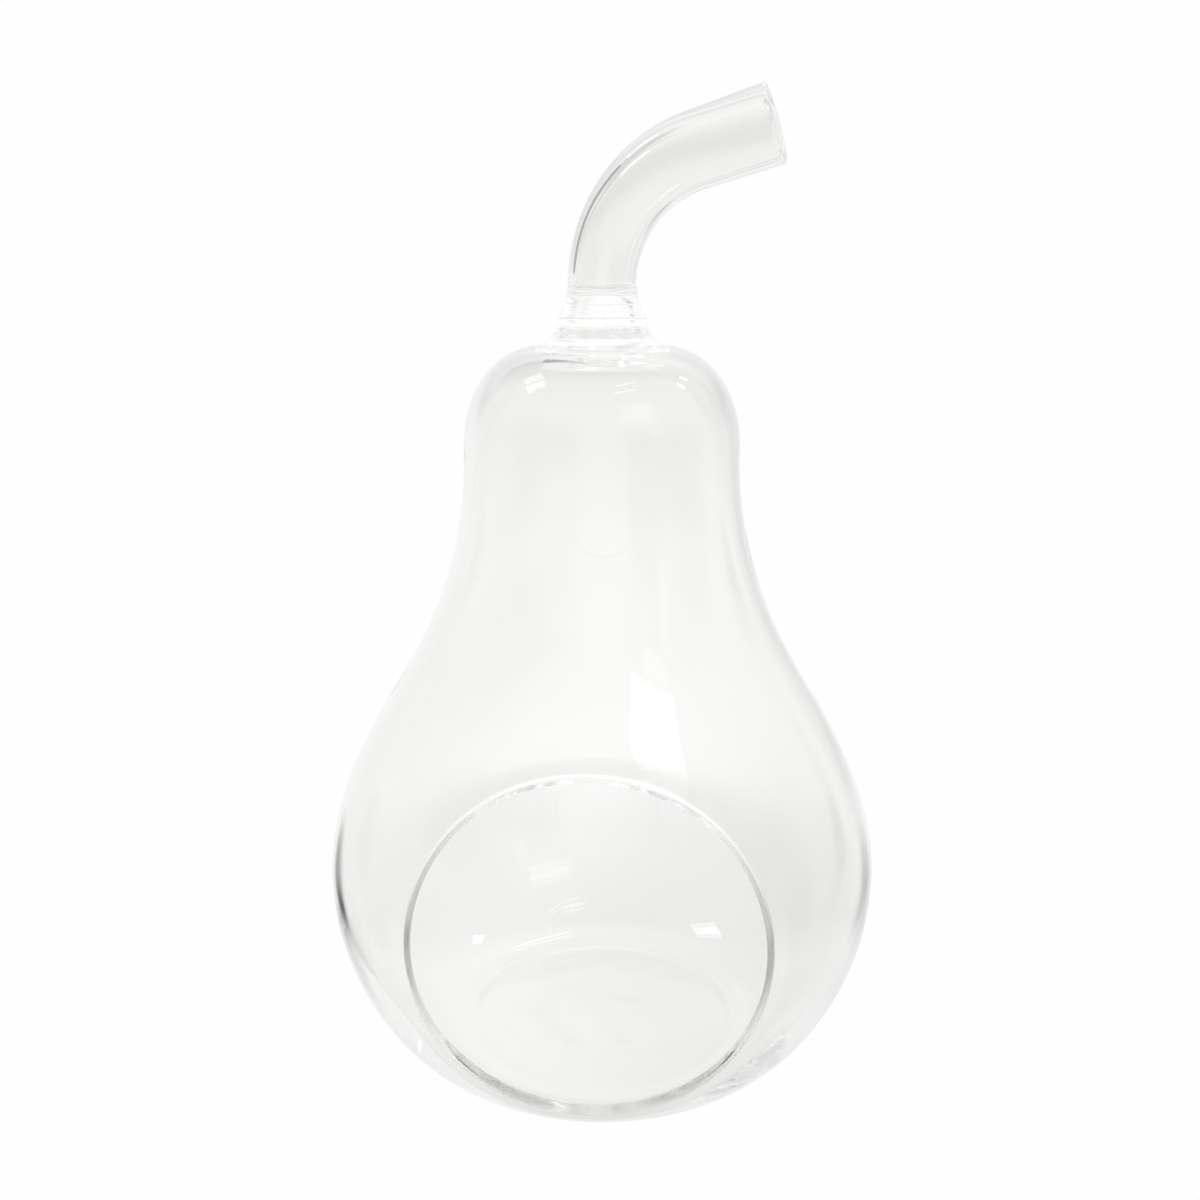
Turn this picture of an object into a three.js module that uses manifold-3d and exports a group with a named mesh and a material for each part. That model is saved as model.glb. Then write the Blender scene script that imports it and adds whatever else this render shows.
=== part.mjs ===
// A clear glass pear that stands on its own: a blown shell with a round opening in the front of
// its belly, a solid seal collar on its crown and a bent, open-ended stem tube.
// Millimetres, +Z up. The origin is the middle of the flat foot, and the opening faces -Y.
import * as THREE from 'three';
import { mergeVertices } from 'three/addons/utils/BufferGeometryUtils.js';
import Module from 'manifold-3d';

const wasm = await Module();
wasm.setup();

const { degToRad, smoothstep } = THREE.MathUtils;

// Outer outline of the shell. Each point has a radius and a height, the heading of the outline
// there (degrees, 0 outwards and 90 straight up), and how far the curve holds that heading
// before and after it.
const footEdge = { radius: 36, height: 0, heading: 0, after: 12 };
const belly = { radius: 65, height: 46.5, heading: 90, before: 25.5, after: 15 };
const flank = { radius: 49.7, height: 88.8, heading: 122.5, before: 14, after: 22 };
const neck = { radius: 31.4, height: 146, heading: 90, before: 21.5, after: 12 };
const crown = { radius: 15, height: 169, heading: 172, before: 10.4, after: 4 };
const boss = { radius: 9.8, height: 175, heading: 103, before: 3 };

// Glass thickness, which grows from the belly towards the foot and the crown.
const bellyWall = 1.8;
const footWall = 3;
const crownWall = 3.2;
const crownBlend = 20; // how far below the neck the wall starts to thicken

// The floor is thicker in the middle, where the bubble was closed.
const buttonRise = 0.6;
const buttonRadius = 13;
const buttonSlope = 8;

// Round opening in the front of the belly.
const openingRadius = 36.8;
const openingHeight = 48;

// Solid collar that seals the stem to the boss.
const collarTopRadius = 7.75;
const collarTop = 179.5;
const collarWaist = { radius: 8.4, height: 177.4 };

// Stem tube.
const stemRadius = 7.5;
const boreRadius = 6.4;
const stemFlare = 0.13; // share by which the tube has widened at its open end
const boreTaper = 0.15; // share by which its bore has narrowed there
const stemRise = 2.7;
const stemBendRadius = 28.5;
const stemBendAngle = degToRad(74);
const stemRun = 17.7;
const stemTurn = degToRad(-12); // about Z, from +X towards the front

// Facets.
const sidesRound = 48;
const stepsPerCurve = 6;
const openingSides = 56;
const stemSides = 22;
const stemSteps = 15;

// One curve from an outline point to the next, holding the heading of each.
function curveBetween(start, end) {
  const from = new THREE.Vector2(start.radius, start.height);
  const to = new THREE.Vector2(end.radius, end.height);
  const ahead = (point) => new THREE.Vector2(
    Math.cos(degToRad(point.heading)), Math.sin(degToRad(point.heading)));
  return new THREE.CubicBezierCurve(
    from, from.clone().addScaledVector(ahead(start), start.after),
    to.clone().addScaledVector(ahead(end), -end.before), to);
}

const shellCurves = [
  curveBetween(footEdge, belly),
  curveBetween(belly, flank),
  curveBetween(flank, neck),
  curveBetween(neck, crown),
];
const bossCurve = curveBetween(crown, boss);

// Wall thickness at a height: thick at the foot, thin at the belly, thick again at the crown.
function wallAt(height) {
  const nearFoot = 1 - smoothstep(height, footEdge.height, belly.height);
  const nearCrown = smoothstep(height, neck.height - crownBlend, crown.height);
  return bellyWall + (footWall - bellyWall) * nearFoot + (crownWall - bellyWall) * nearCrown;
}

// Points along a chain of curves, each shared end once.
function chainPoints(curves, pointAt) {
  const points = [pointAt(curves[0], 0)];
  for (const curve of curves) {
    for (let step = 1; step <= stepsPerCurve; step += 1) points.push(pointAt(curve, step / stepsPerCurve));
  }
  return points;
}

function outerOutline() {
  return [
    new THREE.Vector2(0, footEdge.height),
    ...chainPoints([...shellCurves, bossCurve], (curve, t) => curve.getPoint(t)),
    new THREE.Vector2(0, boss.height),
  ];
}

// The outline of the hollow: the outer one, up to the crown, moved inwards by the wall.
function hollowOutline() {
  const inside = (curve, t) => {
    const outer = curve.getPoint(t);
    const ahead = curve.getTangent(t);
    const wall = wallAt(outer.y);
    return new THREE.Vector2(outer.x - ahead.y * wall, outer.y + ahead.x * wall);
  };
  return [
    new THREE.Vector2(0, footWall + buttonRise),
    new THREE.Vector2(buttonRadius, footWall + buttonRise),
    new THREE.Vector2(buttonRadius + buttonSlope, footWall),
    ...chainPoints(shellCurves, inside),
    new THREE.Vector2(0, crown.height - crownWall),
  ];
}

// A lathe about Z from outline points (radius, height) that start and end on the axis.
function turned(points) {
  const geometry = new THREE.LatheGeometry(points, sidesRound);
  geometry.rotateX(Math.PI / 2);
  return geometry;
}

// A closed geometry as a solid that can be cut.
function toSolid(geometry) {
  const bare = geometry.clone();
  bare.deleteAttribute('normal');
  bare.deleteAttribute('uv');
  const merged = mergeVertices(bare);
  const corners = merged.index.array;
  const triangles = [];
  for (let i = 0; i < corners.length; i += 3) {
    const [a, b, c] = corners.slice(i, i + 3);
    if (a !== b && b !== c && c !== a) triangles.push(a, b, c);
  }
  return new wasm.Manifold(new wasm.Mesh({
    numProp: 3,
    vertProperties: new Float32Array(merged.attributes.position.array),
    triVerts: new Uint32Array(triangles),
  }));
}

// A solid back as a geometry.
function toGeometry(solid) {
  const { vertProperties, triVerts } = solid.getMesh();
  const geometry = new THREE.BufferGeometry();
  geometry.setAttribute('position', new THREE.BufferAttribute(new Float32Array(vertProperties), 3));
  geometry.setIndex(new THREE.BufferAttribute(new Uint32Array(triVerts), 1));
  geometry.computeVertexNormals();
  return geometry;
}

function glassPiece(name, geometry, colour) {
  const material = new THREE.MeshStandardMaterial({
    color: colour, roughness: 0.03, metalness: 0, transparent: true, opacity: 0.35,
  });
  const mesh = new THREE.Mesh(geometry, material);
  mesh.name = name;
  return mesh;
}

// The blown shell, hollow inside, with the round opening cut through its front wall.
function pearShell() {
  const cutter = new THREE.CylinderGeometry(openingRadius, openingRadius, 2 * belly.radius, openingSides);
  cutter.translate(0, -1.2 * belly.radius, openingHeight);
  const solid = toSolid(turned(outerOutline()))
    .subtract(toSolid(turned(hollowOutline())))
    .subtract(toSolid(cutter));
  return glassPiece('pear_shell', toGeometry(solid), 0xe6ebe8);
}

// The solid collar of glass between the boss and the stem.
function sealCollar() {
  const side = new THREE.QuadraticBezierCurve(
    new THREE.Vector2(boss.radius, boss.height),
    new THREE.Vector2(collarWaist.radius, collarWaist.height),
    new THREE.Vector2(collarTopRadius, collarTop));
  const points = [
    new THREE.Vector2(0, boss.height), ...side.getPoints(stepsPerCurve), new THREE.Vector2(0, collarTop),
  ];
  return glassPiece('seal_collar', turned(points), 0xeceeea);
}

// Centre line of the stem: a short rise, a round bend and a straight run to the open end.
function stemLine() {
  const line = new THREE.CurvePath();
  const start = new THREE.Vector3(0, 0, collarTop);
  const bendStart = new THREE.Vector3(0, 0, collarTop + stemRise);
  const ahead = new THREE.Vector3(Math.sin(stemBendAngle), 0, Math.cos(stemBendAngle));
  const bendEnd = new THREE.Vector3(
    stemBendRadius * (1 - Math.cos(stemBendAngle)), 0,
    bendStart.z + stemBendRadius * Math.sin(stemBendAngle));
  const handle = 4 / 3 * Math.tan(stemBendAngle / 4) * stemBendRadius;
  line.add(new THREE.LineCurve3(start, bendStart));
  line.add(new THREE.CubicBezierCurve3(
    bendStart, bendStart.clone().add(new THREE.Vector3(0, 0, handle)),
    bendEnd.clone().addScaledVector(ahead, -handle), bendEnd));
  line.add(new THREE.LineCurve3(bendEnd, bendEnd.clone().addScaledVector(ahead, stemRun)));
  return line;
}

// Widens the outside of a tube and narrows its bore, evenly along its line, from their own sizes at the start.
function thickened(geometry, line) {
  const stations = line.getSpacedPoints(stemSteps);
  const position = geometry.attributes.position;
  const point = new THREE.Vector3();
  for (let i = 0; i < position.count; i += 1) {
    point.fromBufferAttribute(position, i);
    const gaps = stations.map((station) => station.distanceTo(point));
    const nearest = gaps.indexOf(Math.min(...gaps));
    const outside = gaps[nearest] > (stemRadius + boreRadius) / 2;
    const widening = 1 + (outside ? stemFlare : -boreTaper) * nearest / stemSteps;
    point.sub(stations[nearest]).multiplyScalar(widening).add(stations[nearest]);
    position.setXYZ(i, point.x, point.y, point.z);
  }
  return geometry;
}

// The bent stem: a tube whose wall thickens towards its open far end.
function stemTube() {
  const section = new THREE.Shape();
  section.absarc(0, 0, stemRadius, 0, 2 * Math.PI);
  const bore = new THREE.Path();
  bore.absarc(0, 0, boreRadius, 0, 2 * Math.PI);
  section.holes.push(bore);
  const line = stemLine();
  const tube = new THREE.ExtrudeGeometry(section, {
    steps: stemSteps, curveSegments: stemSides / 2, bevelEnabled: false, extrudePath: line,
  });
  const mesh = glassPiece('stem_tube', thickened(tube, line), 0xdfe3df);
  mesh.rotation.z = stemTurn;
  return mesh;
}

const pear = new THREE.Group();
pear.add(pearShell(), sealCollar(), stemTube());

export default pear;
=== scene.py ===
"""A clear glass pear with an open front and a bent stem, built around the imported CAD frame.

Metres, +Z up. The origin is the middle of the foot, and the opening faces -Y. The glass is one body: the
shell, the seal and the stem are closed meshes that meet at flat weld faces, and those bend no light.
"""
import math
from collections import namedtuple

import bpy
import numpy as np
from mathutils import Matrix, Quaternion, Vector, noise


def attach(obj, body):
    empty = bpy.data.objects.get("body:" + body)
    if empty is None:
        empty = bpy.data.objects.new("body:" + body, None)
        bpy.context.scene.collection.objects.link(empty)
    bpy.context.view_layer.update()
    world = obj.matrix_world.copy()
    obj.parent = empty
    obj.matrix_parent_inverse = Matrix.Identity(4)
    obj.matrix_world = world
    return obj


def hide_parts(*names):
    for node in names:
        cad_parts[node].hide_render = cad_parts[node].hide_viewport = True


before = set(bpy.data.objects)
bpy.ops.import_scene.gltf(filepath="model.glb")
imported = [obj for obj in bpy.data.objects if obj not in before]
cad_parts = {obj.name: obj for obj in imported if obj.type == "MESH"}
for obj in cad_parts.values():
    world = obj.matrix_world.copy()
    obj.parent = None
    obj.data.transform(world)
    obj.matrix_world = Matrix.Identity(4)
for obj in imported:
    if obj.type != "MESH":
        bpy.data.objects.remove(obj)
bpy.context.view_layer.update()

# ---------------------------------------------------------------- driving dimensions

# A point of an outline: its radius and height, the heading of the outline there in degrees (0 outwards, 90
# straight up), and how far the curve holds that heading before and after it.
Station = namedtuple("Station", "radius height heading before after")

FOOT_EDGE = Station(0.0360, 0.0000, 0, 0, 0.0120)
BELLY = Station(0.0650, 0.0465, 90, 0.0255, 0.0150)
FLANK = Station(0.0497, 0.0888, 122.5, 0.0140, 0.0220)
NECK = Station(0.0314, 0.1460, 90, 0.0215, 0.0120)
CROWN = Station(0.0150, 0.1690, 172, 0.0104, 0.0040)
BOSS = Station(0.0098, 0.1750, 103, 0.0030, 0.0012)
SEAL_TOP = Station(0.0079, 0.1795, 104, 0.0018, 0)
WELD_OVERLAP = 0.00001  # how far the seal reaches into the shell and the stem, so that no two faces coincide

BELLY_WALL = 0.0018
FOOT_WALL = 0.0030
CROWN_WALL = 0.0032
CROWN_BLEND = 0.020  # how far below the neck the wall starts to thicken
BUTTON_RISE = 0.00025  # the floor's thick middle, where the bubble was closed
BUTTON_RADIUS = 0.011
BUTTON_SLOPE = 0.009
FOLD_RADIUS = 0.0330  # the low ring left inside, where the foot was pressed flat
FOLD_RISE = 0.00012
FOLD_WIDTH = 0.0016
FOLD_CEILING = 0.006  # the ring shapes the inside only below this height

OPENING_RADIUS = 0.0377  # where the lip starts to round over, on both faces of the wall
OPENING_HEIGHT = 0.0480
LIP_ROUNDING = 0.667  # handle of the lip's curve as a share of the wall: this much makes a half circle
LIP_BEAD = 0.00016  # how much fire polishing has thickened each face of the wall beside the lip
LIP_BEAD_REACH = 0.0022
LIP_AIM = 0.0005  # the step into the opening that gives a face's direction where the lip starts

STEM_RADIUS = 0.0075
STEM_FLARE = 0.13  # share by which the tube has widened at its open end
STEM_ROOT_SWELL = 0.0005
STEM_ROOT_REACH = 0.0020
BORE_RADIUS = 0.0064
BORE_TAPER = 0.15  # share by which the bore has narrowed at the open end
BORE_SINK = 0.0010  # how far off centre it ends up there, towards the inside of the bend
BORE_BOTTOM = 0.0003  # how far the bore's rounded bottom lies above the seal
BORE_BOTTOM_DEPTH = 0.0022
STEM_RISE = 0.0027
STEM_BEND_RADIUS = 0.0285
STEM_BEND_ANGLE = math.radians(74)
STEM_RUN = 0.0177
STEM_TURN = math.radians(-12)  # about Z, from +X towards the front
STEM_LIP = 0.0009  # rounding of the cut end
STEM_LENGTH = STEM_RISE + STEM_BEND_RADIUS * STEM_BEND_ANGLE + STEM_RUN

# Unevenness of the glass: how far it goes, the length of its waves, and the heights over which it starts and
# stops. The floor's stops over a stretch of radii instead.
WAVE = 0.00012  # of the wall, from blowing by hand
WAVE_LENGTH = 0.030
WAVE_START = (0.004, 0.014)
WAVE_STOP = (0.155, 0.168)
RIPPLE = 0.00010  # of the floor inside
RIPPLE_LENGTH = 0.0075
RIPPLE_STOP = (0.020, 0.029)
RIPPLE_CEILING = 0.004  # a face inside the pear is its floor below this height
LUMP = 0.00013  # of the glass that was melted together at the seal
LUMP_LENGTH = 0.0032
LUMP_START = (CROWN.height, 0.1720)
LUMP_STOP = (SEAL_TOP.height, 0.1835)

SIDES = 240
STEM_SIDES = 120
BODY_ROWS = (36, 30, 36, 32)  # along each curve of the shell from the foot's edge to the crown
MIDDLE_RINGS = (0.0030, 0.0270, 12)  # across the foot's middle: first radius, last radius and how many
FOLD_RINGS = (0.0278, FOOT_EDGE.radius - 0.0005, 20)  # across the fold ring, where they are closer
CEILING_RINGS = 9
CEILING_LAST = 0.001  # radius of the last of them
BOSS_ROWS = 14
ROW_SAMPLES = 4000  # heights of a face that are looked up to find a row
BLOCK_SIDES = 32  # columns on each side of the front that the patch around the opening takes up
BLOCK_BELOW = 0.005  # how far the patch reaches at least below and above the opening
BLOCK_ABOVE = 0.010
PATCH_RINGS = 34
PATCH_CROWDING = 1.25  # more than 1 brings the patch's rings closer together towards the lip
LIP_STEPS = 12
SEAL_ROWS = 14
STEM_ROWS = 90
STEM_LIP_ROWS = 8  # on each half of the rounded end
BORE_ROWS = 60
BORE_BOTTOM_ROWS = 12
BUBBLE_SIDES = 16
BUBBLE_RINGS = 7

# ---------------------------------------------------------------- outlines


def smoothstep(x, low, high):
    t = np.clip((np.asarray(x, float) - low) / (high - low), 0, 1)
    return t * t * (3 - 2 * t)


def heading_vector(station):
    angle = math.radians(station.heading)
    return np.array([math.cos(angle), math.sin(angle)])


def bezier(a, b, c, d, t):
    """Points and unit tangents of a cubic Bezier curve at the parameters t."""
    t = np.asarray(t, float)[:, None]
    points = (1 - t) ** 3 * a + 3 * (1 - t) ** 2 * t * b + 3 * (1 - t) * t**2 * c + t**3 * d
    along = 3 * (1 - t) ** 2 * (b - a) + 6 * (1 - t) * t * (c - b) + 3 * t**2 * (d - c)
    return points, along / np.linalg.norm(along, axis=1)[:, None]


def curve_between(start, end, steps):
    """Points and tangents from one station to the next, without the last point."""
    a = np.array([start.radius, start.height])
    d = np.array([end.radius, end.height])
    b = a + heading_vector(start) * start.after
    c = d - heading_vector(end) * end.before
    return bezier(a, b, c, d, np.arange(steps) / steps)


def chain(stations, steps):
    """Points and tangents along a chain of stations, the last one included."""
    parts = [curve_between(a, b, n) for a, b, n in zip(stations, stations[1:], steps)]
    last = stations[-1]
    points = np.vstack([p for p, _ in parts] + [[last.radius, last.height]])
    tangents = np.vstack([t for _, t in parts] + [heading_vector(last)])
    return points, tangents


def wall_at(height):
    near_foot = 1 - smoothstep(height, FOOT_EDGE.height, BELLY.height)
    near_crown = smoothstep(height, NECK.height - CROWN_BLEND, CROWN.height)
    return BELLY_WALL + (FOOT_WALL - BELLY_WALL) * near_foot + (CROWN_WALL - BELLY_WALL) * near_crown


def shell_outlines():
    """The outer and inner outlines of the shell, with the same rows up to the crown, and how many of those
    rows cross the foot."""
    body, along = chain([FOOT_EDGE, BELLY, FLANK, NECK, CROWN], BODY_ROWS)
    wall = wall_at(body[:, 1])[:, None]
    hollow = body + wall * np.c_[-along[:, 1], along[:, 0]]
    foot_radii = np.append(np.linspace(*MIDDLE_RINGS), np.linspace(*FOLD_RINGS))
    foot = np.c_[foot_radii, np.zeros(len(foot_radii))]
    button = BUTTON_RISE * (1 - smoothstep(foot_radii, BUTTON_RADIUS, BUTTON_RADIUS + BUTTON_SLOPE))
    floor = np.c_[foot_radii, FOOT_WALL + button]
    for rows in (floor, hollow):
        low = rows[:, 1] < FOLD_CEILING
        rows[low, 1] += FOLD_RISE * np.exp(-(((rows[low, 0] - FOLD_RADIUS) / FOLD_WIDTH) ** 2))
    boss, _ = chain([CROWN, BOSS], [BOSS_ROWS])
    ceiling_radii = np.linspace(hollow[-1, 0], CEILING_LAST, CEILING_RINGS + 1)[1:]
    ceiling = np.c_[ceiling_radii, np.full(CEILING_RINGS, hollow[-1, 1])]
    outer = np.vstack([foot, body[:-1], boss])
    inner = np.vstack([floor, hollow, ceiling])
    return outer, inner, len(foot)


# ---------------------------------------------------------------- surfaces


def noise_at(points, length, shift=(0, 0, 0)):
    """Smooth noise whose waves have a length, one number for each point."""
    return np.array([noise.noise(Vector(p) / length + Vector(shift)) for p in points])


def waves(points, seed):
    """How far the shallow waves of the wall move each point outwards."""
    height = points[:, 2]
    blown = smoothstep(height, *WAVE_START) * (1 - smoothstep(height, *WAVE_STOP))
    return WAVE * blown * noise_at(points, WAVE_LENGTH, (seed * 7.3, seed * 3.1, seed * 5.7))


def lumps(points):
    """How far the lumps round the seal move each point outwards."""
    height = points[:, 2]
    melted = smoothstep(height, *LUMP_START) * (1 - smoothstep(height, *LUMP_STOP))
    return LUMP * melted * noise_at(points, LUMP_LENGTH)


def ripples(points):
    """How far the floor's ripples move each point upwards."""
    middle = 1 - smoothstep(np.hypot(points[:, 0], points[:, 1]), *RIPPLE_STOP)
    return RIPPLE * middle * noise_at(points, RIPPLE_LENGTH)


def between(values, place):
    """A smooth curve through a list of values, read at places that may lie between two of them."""
    last = len(values) - 1
    place = np.asarray(place, float)
    start = np.clip(np.floor(place).astype(int), 0, last - 1)
    t = place - start
    a, b, c, d = (values[np.clip(start + step, 0, last)] for step in (-1, 0, 1, 2))
    return b + 0.5 * t * (c - a + t * (2 * a - 5 * b + 4 * c - d + t * (3 * (b - c) + d - a)))


def around(radius, angle, height):
    """Points at radii, angles from the front and heights."""
    return np.c_[radius * np.sin(angle), -radius * np.cos(angle), height]


class Face:
    """One face of the shell's wall: a turned outline that can be asked for any row, even between two rows."""

    def __init__(self, outline, seed, outwards):
        self.outline = outline
        self.rows = np.arange(len(outline))
        self.seed = seed
        self.outwards = outwards

    def radius(self, row):
        return between(self.outline[:, 0], row)

    def height(self, row):
        return between(self.outline[:, 1], row)

    def row_at(self, height, low, high):
        """The row that lies at a height, between two rows where the outline climbs."""
        rows = np.linspace(low, high, ROW_SAMPLES)
        return np.interp(height, self.height(rows), rows)

    def points(self, angle, row, bead=0.0):
        """Points at angles from the front and at rows. bead swells the wall on this face's side."""
        radius = self.radius(row) + self.outwards * bead
        height = self.height(row)
        true = around(radius, angle, height)
        radius = radius + waves(true, self.seed) + lumps(true)
        if self.outwards < 0:
            height = height + (height < RIPPLE_CEILING) * ripples(true)
        return around(radius, angle, height)


GLASS, WELD, LIP, MELTED = range(4)  # the kinds of face, in the order of a piece's materials


class Builder:
    """Collects the vertices and faces of one mesh."""

    def __init__(self):
        self.vertices = []
        self.faces = []
        self.kinds = []

    def add(self, points):
        start = len(self.vertices)
        self.vertices.extend(map(tuple, points))
        return np.arange(start, start + len(points))

    def strip(self, first, second, flip=False, closed=True, kind=GLASS):
        """Quads between two rings of vertex numbers."""
        count = len(first)
        for k in range(count if closed else count - 1):
            n = (k + 1) % count
            quad = (first[k], first[n], second[n], second[k])
            self.faces.append(quad[::-1] if flip else quad)
            self.kinds.append(kind)

    def fan(self, ring, middle, flip=False, kind=GLASS):
        """Triangles from a ring to one point in its middle."""
        centre = self.add([middle])[0]
        count = len(ring)
        for k in range(count):
            triangle = (ring[k], ring[(k + 1) % count], centre)
            self.faces.append(triangle[::-1] if flip else triangle)
            self.kinds.append(kind)

    def object(self, name, materials):
        """The Blender object of the faces, without the vertices that no face uses."""
        used = sorted({int(i) for face in self.faces for i in face})
        number = {old: new for new, old in enumerate(used)}
        faces = [tuple(number[int(i)] for i in face) for face in self.faces]
        mesh = bpy.data.meshes.new(name)
        mesh.from_pydata([self.vertices[i] for i in used], [], faces)
        for material in materials:
            mesh.materials.append(material)
        kinds = np.array(self.kinds)
        mesh.polygons.foreach_set("material_index", kinds)
        mesh.polygons.foreach_set("use_smooth", kinds != WELD)
        mesh.update()
        piece = bpy.data.objects.new(name, mesh)
        bpy.context.scene.collection.objects.link(piece)
        return piece


# ---------------------------------------------------------------- shell


def opening_block(face, lathe_start):
    """The first and last row of the block of the lathe grid that the opening's patch takes up."""
    heights = face.outline[:, 1]
    climbing = np.arange(len(heights)) >= lathe_start
    low = np.flatnonzero(climbing & (heights < OPENING_HEIGHT - OPENING_RADIUS - BLOCK_BELOW))[-1]
    high = np.flatnonzero(climbing & (heights > OPENING_HEIGHT + OPENING_RADIUS + BLOCK_ABOVE))[0]
    return int(low), int(high)


def grid_with_hole(build, face, low, high, flip):
    """The lathe grid of one face of the wall without the block at the front. Returns the block's edge, as the
    vertex numbers, angles and rows of a loop that runs round it once, and the first and last ring."""
    angles = 2 * math.pi * np.arange(SIDES) / SIDES
    rings = [build.add(face.points(angles, np.full(SIDES, row))) for row in face.rows]
    for row in range(len(rings) - 1):
        first, second = rings[row], rings[row + 1]
        if low <= row < high:
            outside = np.arange(BLOCK_SIDES, SIDES - BLOCK_SIDES + 1)
            build.strip(first[outside], second[outside], flip, closed=False)
        else:
            melted = face.outwards > 0 and face.outline[row, 1] > CROWN.height
            build.strip(first, second, flip, kind=MELTED if melted else GLASS)
    right = [(row, BLOCK_SIDES) for row in range(low, high)]
    top = [(high, side) for side in range(BLOCK_SIDES, -BLOCK_SIDES, -1)]
    left = [(row, -BLOCK_SIDES) for row in range(high, low, -1)]
    bottom = [(low, side) for side in range(-BLOCK_SIDES, BLOCK_SIDES)]
    loop = right + top + left + bottom
    numbers = np.array([rings[row][side % SIDES] for row, side in loop])
    loop_angles = np.array([2 * math.pi * side / SIDES for _, side in loop])
    loop_rows = np.array([row for row, _ in loop], float)
    return numbers, loop_angles, loop_rows, rings[0], rings[-1]


def circle_on(face, bearings, low, high, radius):
    """Angles and rows of the points of a face that the opening's cylinder, of some radius, passes through."""
    rows = face.row_at(OPENING_HEIGHT + radius * np.sin(bearings), low, high)
    return np.arcsin(radius * np.cos(bearings) / face.radius(rows)), rows


def patch(build, face, edge, bearings, low, high, flip):
    """The mesh between the opening and the block's edge. Returns the ring where the lip starts."""
    numbers, edge_angles, edge_rows = edge
    start_angles, start_rows = circle_on(face, bearings, low, high, OPENING_RADIUS)
    rings = []
    for step in range(PATCH_RINGS):
        share = (step / PATCH_RINGS) ** PATCH_CROWDING
        angles = start_angles + share * (edge_angles - start_angles)
        rows = start_rows + share * (edge_rows - start_rows)
        plain = face.points(angles, rows)
        away = np.hypot(plain[:, 0], plain[:, 2] - OPENING_HEIGHT) - OPENING_RADIUS
        bead = LIP_BEAD * np.exp(-((away / LIP_BEAD_REACH) ** 2))
        rings.append(build.add(face.points(angles, rows, bead)))
    for first, second in zip(rings, rings[1:] + [numbers]):
        build.strip(first, second, not flip)
    return rings[0]


def inwards_on(face, bearings, low, high):
    """Unit directions along a face of the wall, from where the lip starts towards the opening's middle."""
    here = face.points(*circle_on(face, bearings, low, high, OPENING_RADIUS))
    there = face.points(*circle_on(face, bearings, low, high, OPENING_RADIUS - LIP_AIM))
    return (there - here) / np.linalg.norm(there - here, axis=1)[:, None]


def lip(build, outer_ring, inner_ring, outer_inwards, inner_inwards):
    """The rounded edge of the opening, from the outer face of the wall to the inner one."""
    outer = np.array([build.vertices[i] for i in outer_ring])
    inner = np.array([build.vertices[i] for i in inner_ring])
    handle = LIP_ROUNDING * np.linalg.norm(outer - inner, axis=1)[:, None]
    first, second = outer + outer_inwards * handle, inner + inner_inwards * handle
    ring = outer_ring
    for step in range(1, LIP_STEPS):
        t = step / LIP_STEPS
        points = (1 - t) ** 3 * outer + 3 * (1 - t) ** 2 * t * first
        points = points + 3 * (1 - t) * t**2 * second + t**3 * inner
        after = build.add(points)
        build.strip(ring, after, kind=LIP)
        ring = after
    build.strip(ring, inner_ring, kind=LIP)


def build_shell(materials):
    """The blown pear, with the round opening in its front."""
    outer_outline, inner_outline, lathe_start = shell_outlines()
    outer, inner = Face(outer_outline, 1, 1), Face(inner_outline, 2, -1)
    build = Builder()
    low, high = opening_block(outer, lathe_start)
    rings = []
    inwards = []
    for face, flip in ((outer, False), (inner, True)):
        *edge, bottom_ring, top_ring = grid_with_hole(build, face, low, high, flip)
        block = face.points(edge[1], edge[2])
        bearings = np.unwrap(np.arctan2(block[:, 2] - OPENING_HEIGHT, block[:, 0]))
        rings.append(patch(build, face, edge, bearings, low, high, flip))
        inwards.append(inwards_on(face, bearings, low, high))
        build.fan(bottom_ring, (0, 0, face.outline[0, 1]), not flip)
        build.fan(top_ring, (0, 0, face.outline[-1, 1]), flip, GLASS if flip else WELD)
    lip(build, *rings, *inwards)
    return build.object("glass_pear_shell", materials)


# ---------------------------------------------------------------- seal

# Seed bubbles in the seal: place across the front, depth behind the axis, height and radius.
BUBBLES = (
    (-0.0046, -0.0050, 0.1757, 0.00028),
    (-0.0036, -0.0054, 0.1758, 0.00024),
    (-0.0027, -0.0057, 0.1757, 0.00026),
    (-0.0018, -0.0055, 0.1758, 0.00022),
    (0.0007, -0.0056, 0.1758, 0.00045),
    (0.0028, -0.0052, 0.1759, 0.00034),
    (-0.0034, -0.0038, 0.1772, 0.00020),
    (0.0047, -0.0030, 0.1767, 0.00030),
    (-0.0058, -0.0020, 0.1766, 0.00024),
)


def add_bubble(build, x, y, z, radius):
    """A small round hollow, its faces turned to the air inside it."""
    turns = 2 * math.pi * np.arange(BUBBLE_SIDES) / BUBBLE_SIDES
    rings = []
    for rise in np.linspace(-math.pi / 2, math.pi / 2, BUBBLE_RINGS + 2)[1:-1]:
        height = np.full(BUBBLE_SIDES, radius * math.sin(rise))
        rings.append(build.add(around(radius * math.cos(rise), turns, height) + (x, y, z)))
    for first, second in zip(rings, rings[1:]):
        build.strip(first, second, flip=True)
    build.fan(rings[0], (x, y, z - radius))
    build.fan(rings[-1], (x, y, z + radius), flip=True)


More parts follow.
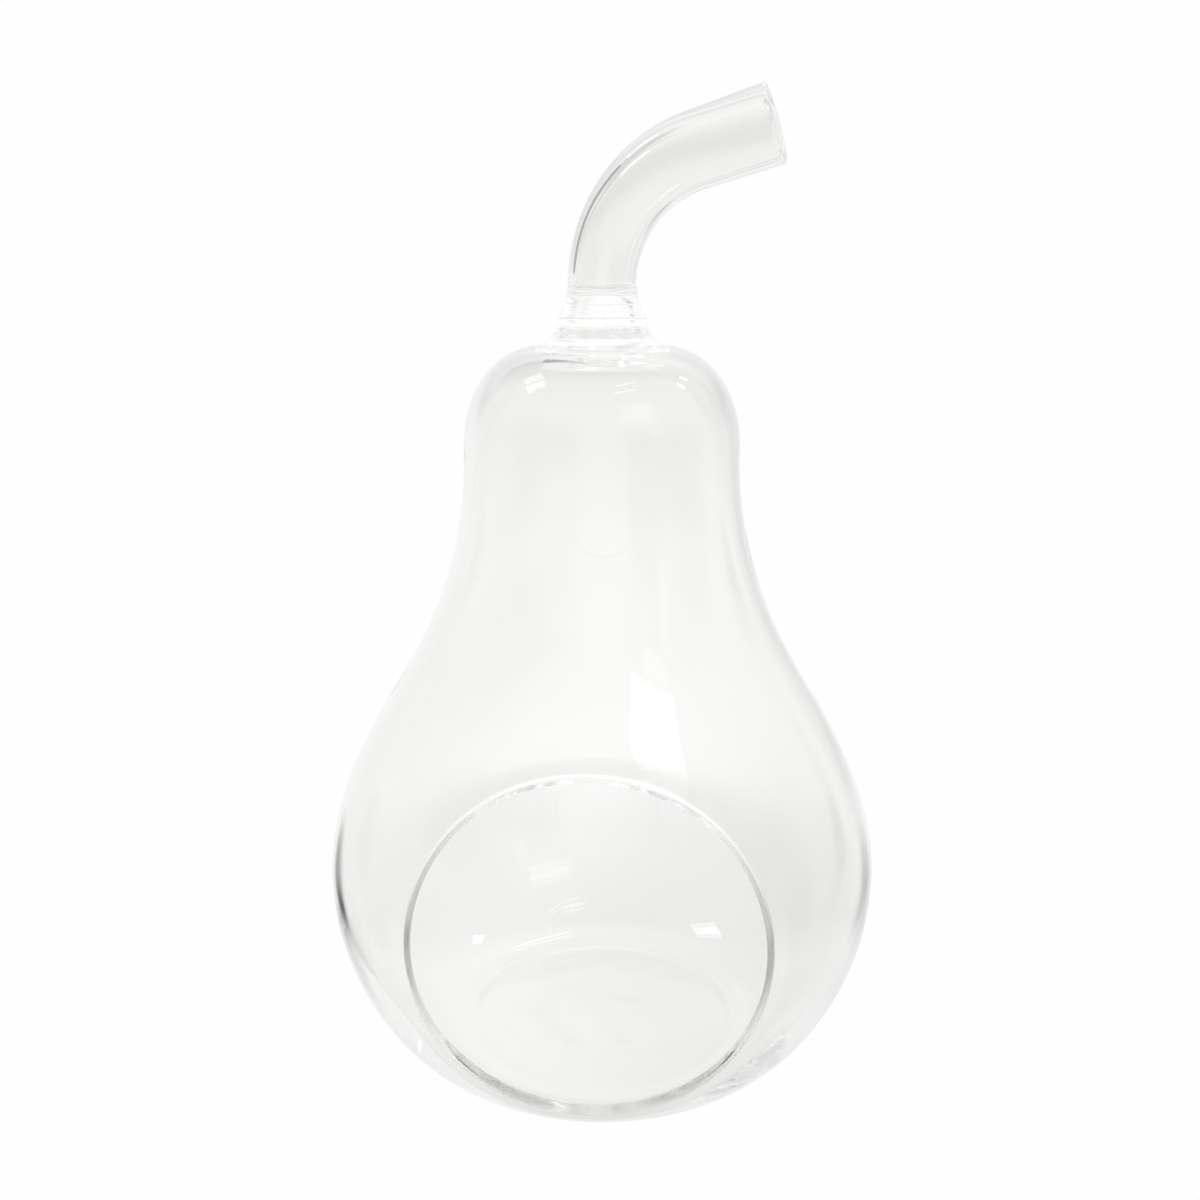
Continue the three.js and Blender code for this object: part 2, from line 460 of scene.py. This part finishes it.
def build_seal(materials):
    """The solid glass between the boss and the stem."""
    outline, _ = chain([BOSS, SEAL_TOP], [SEAL_ROWS])
    outline[0, 1] -= WELD_OVERLAP
    outline[-1, 1] += WELD_OVERLAP
    build = Builder()
    angles = 2 * math.pi * np.arange(STEM_SIDES) / STEM_SIDES
    rings = []
    for radius, level in outline:
        height = np.full(STEM_SIDES, level)
        rings.append(build.add(around(radius + lumps(around(radius, angles, height)), angles, height)))
    for first, second in zip(rings, rings[1:]):
        build.strip(first, second)
    build.fan(rings[0], (0, 0, outline[0, 1]), flip=True, kind=WELD)
    build.fan(rings[-1], (0, 0, outline[-1, 1]), kind=WELD)
    for bubble in BUBBLES:
        add_bubble(build, *bubble)
    return build.object("glass_stem_seal", materials)


# ---------------------------------------------------------------- stem


def stem_line(distance):
    """Place and direction of the stem's centre line at a distance along it, in its own upright plane."""
    if distance <= STEM_RISE:
        return np.array([0, SEAL_TOP.height + distance]), 0.0
    turned = min((distance - STEM_RISE) / STEM_BEND_RADIUS, STEM_BEND_ANGLE)
    across = STEM_BEND_RADIUS * (1 - math.cos(turned))
    up = SEAL_TOP.height + STEM_RISE + STEM_BEND_RADIUS * math.sin(turned)
    beyond = max(distance - STEM_RISE - STEM_BEND_RADIUS * STEM_BEND_ANGLE, 0)
    return np.array([across + beyond * math.sin(turned), up + beyond * math.cos(turned)]), turned


def stem_ring(distance, radius, sink=0.0):
    """A ring of the stem, square to its centre line and off it by sink, towards the inside of the bend."""
    (across, up), turned = stem_line(distance)
    angles = 2 * math.pi * np.arange(STEM_SIDES) / STEM_SIDES
    sideways = radius * np.cos(angles) + sink
    u = across + sideways * math.cos(turned)
    v = radius * np.sin(angles)
    x = u * math.cos(STEM_TURN) - v * math.sin(STEM_TURN)
    y = u * math.sin(STEM_TURN) + v * math.cos(STEM_TURN)
    return np.c_[x, y, up - sideways * math.sin(turned)]


def stem_radius(distance):
    """Radius of the stem's outside, which swells at the root and flares towards the open end."""
    flare = STEM_RADIUS * STEM_FLARE * distance / STEM_LENGTH
    return STEM_RADIUS + flare + STEM_ROOT_SWELL * math.exp(-distance / STEM_ROOT_REACH)


def stem_points(distance):
    """A ring of the stem's outside, with the lumps at its root."""
    radius = stem_radius(distance)
    return stem_ring(distance, radius + lumps(stem_ring(distance, radius)))


def bore_points(distance, rounding=0.0):
    """A ring of the bore, which narrows and sinks towards the open end. rounding widens it there."""
    share = distance / STEM_LENGTH
    return stem_ring(distance, BORE_RADIUS * (1 - BORE_TAPER * share) + rounding, BORE_SINK * share)


def build_stem(materials):
    """The bent tube: up its outside, round its cut end and down its bore."""
    rings = [stem_points(s) for s in np.linspace(0, STEM_LENGTH - STEM_LIP, STEM_ROWS)]
    for turn in np.linspace(0, math.pi / 2, STEM_LIP_ROWS)[1:]:
        place = STEM_LENGTH - STEM_LIP * (1 - math.sin(turn))
        rings.append(stem_ring(place, stem_radius(STEM_LENGTH) - STEM_LIP * (1 - math.cos(turn))))
    for turn in np.linspace(math.pi / 2, 0, STEM_LIP_ROWS):
        place = STEM_LENGTH - STEM_LIP * (1 - math.sin(turn))
        rings.append(bore_points(place, STEM_LIP * (1 - math.cos(turn))))
    bore_start = BORE_BOTTOM + BORE_BOTTOM_DEPTH
    for s in np.linspace(STEM_LENGTH - STEM_LIP, bore_start, BORE_ROWS)[1:]:
        rings.append(bore_points(s))
    for turn in np.linspace(0, math.pi / 2, BORE_BOTTOM_ROWS + 2)[1:-1]:
        place = bore_start - BORE_BOTTOM_DEPTH * math.sin(turn)
        rings.append(stem_ring(place, BORE_RADIUS * math.cos(turn)))
    build = Builder()
    rings = [build.add(points) for points in rings]
    for first, second in zip(rings, rings[1:]):
        build.strip(first, second)
    build.fan(rings[0], (0, 0, SEAL_TOP.height), flip=True, kind=WELD)
    build.fan(rings[-1], (0, 0, SEAL_TOP.height + BORE_BOTTOM))
    return build.object("glass_stem_tube", materials)


# ---------------------------------------------------------------- materials

IOR = 1.5
MELTED_ROUGHNESS = 0.12  # of the lip, the boss and the seal, whose glass was melted again
# Painted glow: emission strengths that make the lip, the boss and the seal look faintly white and pale,
# though they are no lamps.
LIP_PAINTED_GLOW = 0.05  # painted glow of the lip
BOSS_PAINTED_GLOW = 0.075
SEAL_PAINTED_GLOW = 0.06

# Two tints that the glass drifts between, in soft streaks.
SHELL_TINTS = ((0.988, 0.987, 0.981), (0.975, 0.974, 0.966))
STEM_TINTS = ((0.990, 0.988, 0.983), (0.975, 0.973, 0.966))
MELTED_TINTS = ((1.0, 1.0, 0.998), (0.995, 0.995, 0.993))
STREAK_SCALE = 60
STREAK_STRETCH = (1, 1, 0.25)

# Painted shade on the lip: its colour is darkest grey-green at the sides, a little lighter at the bottom and
# plain white at the top. This stands in for the light that the rim gets from round about. Each step is the
# share of the way from the lip's lowest place to its highest, and its colour.
LIP_PAINTED_SHADES = (
    (0.00, (0.50, 0.51, 0.46)),
    (0.10, (0.66, 0.67, 0.62)),
    (0.22, (0.70, 0.71, 0.66)),
    (0.46, (0.28, 0.285, 0.26)),
    (0.54, (0.28, 0.285, 0.26)),
    (0.70, (0.90, 0.90, 0.88)),
    (0.82, (1.0, 1.0, 1.0)),
    (1.00, (1.0, 1.0, 1.0)),
)


def glass(name, ior, roughness=0.0, painted_glow=0.0):
    """A white glass, and its shader. painted_glow is painted light: an emission that makes the glass shine
    faintly white, though it is no lamp.
    """
    material = bpy.data.materials.new(name)
    material.use_nodes = True
    shader = material.node_tree.nodes["Principled BSDF"]
    shader.inputs["Base Color"].default_value = (1, 1, 1, 1)
    shader.inputs["Transmission Weight"].default_value = 1.0
    shader.inputs["Roughness"].default_value = roughness
    shader.inputs["IOR"].default_value = ior
    # Painted glow: a faint white emission.
    shader.inputs["Emission Color"].default_value = (1, 1, 1, 1)
    shader.inputs["Emission Strength"].default_value = painted_glow
    return material, shader


def streaked_glass(name, tints, roughness=0.0, painted_glow=0.0):
    """Clear glass whose tint drifts a little in soft streaks, as in glass that was drawn and blown."""
    material, shader = glass(name, IOR, roughness, painted_glow)
    nodes, links = material.node_tree.nodes, material.node_tree.links
    tint, streak = tints
    place = nodes.new("ShaderNodeTexCoord")
    stretch = nodes.new("ShaderNodeMapping")
    stretch.inputs["Scale"].default_value = STREAK_STRETCH
    streaks = nodes.new("ShaderNodeTexNoise")
    streaks.inputs["Scale"].default_value = STREAK_SCALE
    ramp = nodes.new("ShaderNodeValToRGB")
    ramp.color_ramp.elements[0].color = (*streak, 1)
    ramp.color_ramp.elements[1].color = (*tint, 1)
    links.new(place.outputs["Object"], stretch.inputs["Vector"])
    links.new(stretch.outputs["Vector"], streaks.inputs["Vector"])
    links.new(streaks.outputs["Fac"], ramp.inputs["Fac"])
    links.new(ramp.outputs["Color"], shader.inputs["Base Color"])
    return material


def lip_glass_painted_shade_and_glow():
    """The opening's lip, with painted shade: its colour is grey-green at the sides and bottom and white at
    the top, following how light falls on the rim, and it glows faintly with painted light.
    """
    material, shader = glass("lip_glass_painted_shade_and_glow", IOR, MELTED_ROUGHNESS, LIP_PAINTED_GLOW)
    nodes, links = material.node_tree.nodes, material.node_tree.links
    place = nodes.new("ShaderNodeTexCoord")
    parts = nodes.new("ShaderNodeSeparateXYZ")
    rise = nodes.new("ShaderNodeMapRange")
    rise.inputs["From Min"].default_value = OPENING_HEIGHT - OPENING_RADIUS
    rise.inputs["From Max"].default_value = OPENING_HEIGHT + OPENING_RADIUS
    ramp = nodes.new("ShaderNodeValToRGB")
    steps = ramp.color_ramp.elements
    for share, tint in LIP_PAINTED_SHADES[1:-1]:
        steps.new(share).color = (*tint, 1)
    steps[0].color = (*LIP_PAINTED_SHADES[0][1], 1)
    steps[-1].color = (*LIP_PAINTED_SHADES[-1][1], 1)
    links.new(place.outputs["Object"], parts.inputs[0])
    links.new(parts.outputs["Z"], rise.inputs["Value"])
    links.new(rise.outputs[0], ramp.inputs["Fac"])
    # The ramp paints the shade into the lip's base colour.
    links.new(ramp.outputs["Color"], shader.inputs["Base Color"])
    return material


def weld_glass():
    """The inside of a weld, where glass meets the same glass: light goes straight through."""
    material, _ = glass("welded_glass", 1.0)
    return material


# ---------------------------------------------------------------- stage

CAMERA_DISTANCE = 0.28065  # level distance from the pear's axis
CAMERA_HEIGHT = 0.1751
CAMERA_AZIMUTH = math.radians(3.25)
CAMERA_PITCH = math.radians(13.008)
CAMERA_YAW = math.radians(0.096)  # the axis sits this far right of the picture's middle
CAMERA_LENS = 36.75  # millimetres, as is the sensor
CAMERA_SENSOR = 36

BOUNCES = 256  # light runs far inside the glass before it leaves at an edge
WHITE = 0.995  # the floor and the background, as the camera sees them
DARKEST = 0.05  # the least light that the glass sees from anywhere

# Light that the glass sees, by the sine of the elevation that it comes from: straight down to straight up.
LEVELS = (
    (-1.00, 0.70),
    (-0.85, 0.77),
    (-0.72, 0.86),
    (-0.60, 0.91),
    (-0.515, 0.94),
    (-0.485, 0.89),
    (-0.42, 0.91),
    (-0.33, 0.975),
    (-0.20, 0.965),
    (-0.10, 0.935),
    (0.00, 0.915),
    (0.11, 0.90),
    (0.25, 0.79),
    (0.60, 0.92),
    (1.00, 0.95),
)
FRONT_SHARE = 0.88  # how bright the side behind the camera is, compared with the far side
FRONT_TABLE_SHARE = 1.25  # and the table on that side
FRONT_TABLE_EDGE = (-0.40, -0.20)  # where that table ends, as sines of the elevation
FRONT_EDGE = (math.radians(90), math.radians(130))  # where that side begins, as azimuths from straight behind

# Soft round places that are brighter or dimmer: azimuth from straight behind, elevation, reach, softness (all
# in degrees) and gain.
PATCHES = (
    (-41, -23, 3, 7, -0.50),
    (-42, -32, 3, 7, -0.30),
    (-40, -28, 4, 22, -0.06),
    (35, -24, 3, 8, -0.26),
    (31, -29, 3, 8, -0.05),
    (33, -14, 4, 9, -0.06),
    (36, -25, 4, 26, -0.03),
    (-40, 42, 6, 14, -0.25),
    (178, 14, 10, 16, 0.22),
    (140, 3, 8, 12, -0.35),
    (28, 1, 6, 14, -0.12),
    (2, -20, 3, 10, 0.04),
    (8, -29, 5, 9, -0.07),
    (17, -28, 4, 8, -0.04),
    (-105, -5, 12, 15, -0.12),
    (105, -5, 12, 15, -0.32),
)

FLOOR_RADIUS = 3.0
FLOOR_DROP = 0.00015  # how far the floor lies below the foot, so that no two faces coincide

CARD_BASE = (-0.005, 0, 0.1988)  # a place on the stem's left
CARD_BEARING = -45  # of the dark card from there: azimuth from straight behind, and elevation (degrees)
CARD_RISE = 18
CARD_DISTANCE = 0.012
CARD_LEAN = math.radians(21)  # to the right, as the stem's bend does
CARD_SIZE = (0.0050, 0.0355)
CARD_GREY = 0.38

# Soft lights like windows: name, azimuth from straight in front and elevation (degrees), width, height and
# radiance. They are aimed at the pear's middle.
WINDOWS = (
    ("window_front", 36, 38, 0.60, 0.23, 0.85),
    ("window_front_low", 39, 31, 0.33, 0.10, 0.35),
    ("window_front_tall", 49, 20, 0.16, 0.45, 0.3),
    ("tube_overhead", 41, 66, 0.42, 0.05, 2.2),
    ("window_left", -98, 52, 0.24, 0.32, 2.4),
    ("window_back_right", 116, 45, 0.10, 0.14, 4.0),
    ("window_back", 165, 60, 0.08, 0.45, 2.5),
)
WINDOW_DISTANCE = 1.5
PEAR_MIDDLE = (0, 0, 0.1)


def direction(azimuth, elevation):
    """The unit vector at an azimuth from straight behind and an elevation, in degrees."""
    turn, rise = math.radians(azimuth), math.radians(elevation)
    return Vector((math.sin(turn) * math.cos(rise), math.cos(turn) * math.cos(rise), math.sin(rise)))


def make_camera():
    data = bpy.data.cameras.new("camera")
    data.sensor_width = CAMERA_SENSOR
    data.lens = CAMERA_LENS
    data.clip_start = 0.01
    camera = bpy.data.objects.new("camera", data)
    x = CAMERA_DISTANCE * math.sin(CAMERA_AZIMUTH)
    y = -CAMERA_DISTANCE * math.cos(CAMERA_AZIMUTH)
    camera.location = (x, y, CAMERA_HEIGHT)
    camera.rotation_euler = (math.pi / 2 - CAMERA_PITCH, 0, CAMERA_AZIMUTH + CAMERA_YAW)
    bpy.context.scene.collection.objects.link(camera)
    bpy.context.scene.camera = camera


class Graph:
    """Short ways to write arithmetic in a node tree."""

    def __init__(self, tree):
        self.nodes = tree.nodes
        self.links = tree.links

    def put(self, socket, value):
        if isinstance(value, bpy.types.NodeSocket):
            self.links.new(value, socket)
        else:
            socket.default_value = value

    def math(self, operation, a, b=0.0):
        node = self.nodes.new("ShaderNodeMath")
        node.operation = operation
        self.put(node.inputs[0], a)
        self.put(node.inputs[1], b)
        return node.outputs[0]

    def dot(self, a, b):
        node = self.nodes.new("ShaderNodeVectorMath")
        node.operation = "DOT_PRODUCT"
        self.put(node.inputs[0], a)
        self.put(node.inputs[1], b)
        return node.outputs["Value"]

    def ease(self, value, low, high, start=0.0, end=1.0):
        """value eased from start to end as it goes from low to high."""
        node = self.nodes.new("ShaderNodeMapRange")
        node.interpolation_type = "SMOOTHSTEP"
        given = {"Value": value, "From Min": low, "From Max": high, "To Min": start, "To Max": end}
        for name, number in given.items():
            self.put(node.inputs[name], number)
        return node.outputs[0]

    def mix(self, share, a, b):
        node = self.nodes.new("ShaderNodeMix")
        self.put(node.inputs[0], share)
        self.put(node.inputs[2], a)
        self.put(node.inputs[3], b)
        return node.outputs[0]


def studio_light(graph, way):
    """How much light comes from each direction: by its height, by its side, and at the soft round places."""
    parts = graph.nodes.new("ShaderNodeSeparateXYZ")
    graph.put(parts.inputs[0], way)
    x, y, z = parts.outputs
    light = LEVELS[0][1]
    for (low, _), (high, level) in zip(LEVELS, LEVELS[1:]):
        light = graph.ease(z, low, high, light, level)
    azimuth = graph.math("ABSOLUTE", graph.math("ARCTAN2", x, y))
    front = graph.ease(z, *FRONT_TABLE_EDGE, FRONT_TABLE_SHARE, FRONT_SHARE)
    light = graph.math("MULTIPLY", light, graph.ease(azimuth, *FRONT_EDGE, 1.0, front))
    for turn, rise, reach, soft, gain in PATCHES:
        far, near = math.cos(math.radians(reach + soft)), math.cos(math.radians(reach))
        nearness = graph.dot(way, direction(turn, rise))
        light = graph.math("ADD", light, graph.ease(nearness, far, near, 0.0, gain))
    return graph.math("MAXIMUM", light, DARKEST)


def make_world():
    """A bright white studio with a dimmer side behind the camera and a few soft dark and bright places, which
    give the glass its edges. It is seen only in the glass: the camera itself sees plain white."""
    world = bpy.data.worlds.new("studio")
    world.use_nodes = True
    bpy.context.scene.world = world
    graph = Graph(world.node_tree)
    light = studio_light(graph, graph.nodes.new("ShaderNodeTexCoord").outputs["Generated"])
    seen = graph.nodes.new("ShaderNodeLightPath").outputs["Is Camera Ray"]
    background = graph.nodes["Background"]
    background.inputs["Color"].default_value = (1, 1, 1, 1)
    graph.put(background.inputs["Strength"], graph.mix(seen, light, WHITE))


def glow(name, strength):
    """A material that sends out plain even light and nothing else."""
    material = bpy.data.materials.new(name)
    material.use_nodes = True
    tree = material.node_tree
    tree.nodes.clear()
    emission = tree.nodes.new("ShaderNodeEmission")
    emission.inputs["Strength"].default_value = strength
    output = tree.nodes.new("ShaderNodeOutputMaterial")
    tree.links.new(emission.outputs[0], output.inputs["Surface"])
    return material


def make_floor():
    """A white floor that only the camera sees."""
    bpy.ops.mesh.primitive_circle_add(
        vertices=96, radius=FLOOR_RADIUS, fill_type="NGON", location=(0, 0, -FLOOR_DROP))
    floor = bpy.context.object
    floor.name = "floor"
    floor.data.materials.append(glow("white_floor", WHITE))
    floor.visible_diffuse = False
    floor.visible_glossy = False
    floor.visible_transmission = False
    floor.visible_shadow = False


def make_card():
    """A small dark card behind the stem on its left. It draws the dark line inside the stem's outer bend."""
    way = direction(CARD_BEARING, CARD_RISE)
    bpy.ops.mesh.primitive_plane_add(size=1, location=Vector(CARD_BASE) + way * CARD_DISTANCE)
    card = bpy.context.object
    card.name = "dark_card"
    card.scale = (*CARD_SIZE, 1)
    card.rotation_euler = (way.to_track_quat("Z", "Y") @ Quaternion((0, 0, 1), CARD_LEAN)).to_euler()
    card.data.materials.append(glow("dark_card", CARD_GREY))
    card.visible_camera = False
    card.visible_diffuse = False
    card.visible_shadow = False


def make_window(name, azimuth, elevation, width, height, radiance):
    """A soft light like a window. It shows only as a reflection."""
    data = bpy.data.lights.new(name, "AREA")
    data.shape = "RECTANGLE"
    data.size = width
    data.size_y = height
    data.energy = radiance * math.pi * width * height
    light = bpy.data.objects.new(name, data)
    way = direction(180 - azimuth, elevation)
    light.location = Vector(PEAR_MIDDLE) + way * WINDOW_DISTANCE
    light.rotation_euler = way.to_track_quat("Z", "Y").to_euler()
    light.visible_camera = False
    bpy.context.scene.collection.objects.link(light)


def make_stage():
    make_world()
    make_floor()
    make_card()
    for window in WINDOWS:
        make_window(*window)
    scene = bpy.context.scene
    scene.view_settings.view_transform = "Standard"
    scene.cycles.max_bounces = BOUNCES
    scene.cycles.transmission_bounces = BOUNCES
    scene.cycles.glossy_bounces = BOUNCES


# ---------------------------------------------------------------- assembly

make_camera()
make_stage()

weld = weld_glass()
shell_glass = streaked_glass("clear_shell_glass", SHELL_TINTS)
# The boss and the seal carry painted glow, which makes them paler.
boss_glass = streaked_glass("clear_boss_glass", MELTED_TINTS, MELTED_ROUGHNESS, BOSS_PAINTED_GLOW)
seal_glass = streaked_glass("clear_seal_glass", MELTED_TINTS, MELTED_ROUGHNESS, SEAL_PAINTED_GLOW)
stem_glass = streaked_glass("clear_stem_glass", STEM_TINTS)

shell = build_shell([shell_glass, weld, lip_glass_painted_shade_and_glow(), boss_glass])
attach(shell, "root")
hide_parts("pear_shell")

seal = build_seal([seal_glass, weld])
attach(seal, "root")
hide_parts("seal_collar")

stem = build_stem([stem_glass, weld])
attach(stem, "root")
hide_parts("stem_tube")
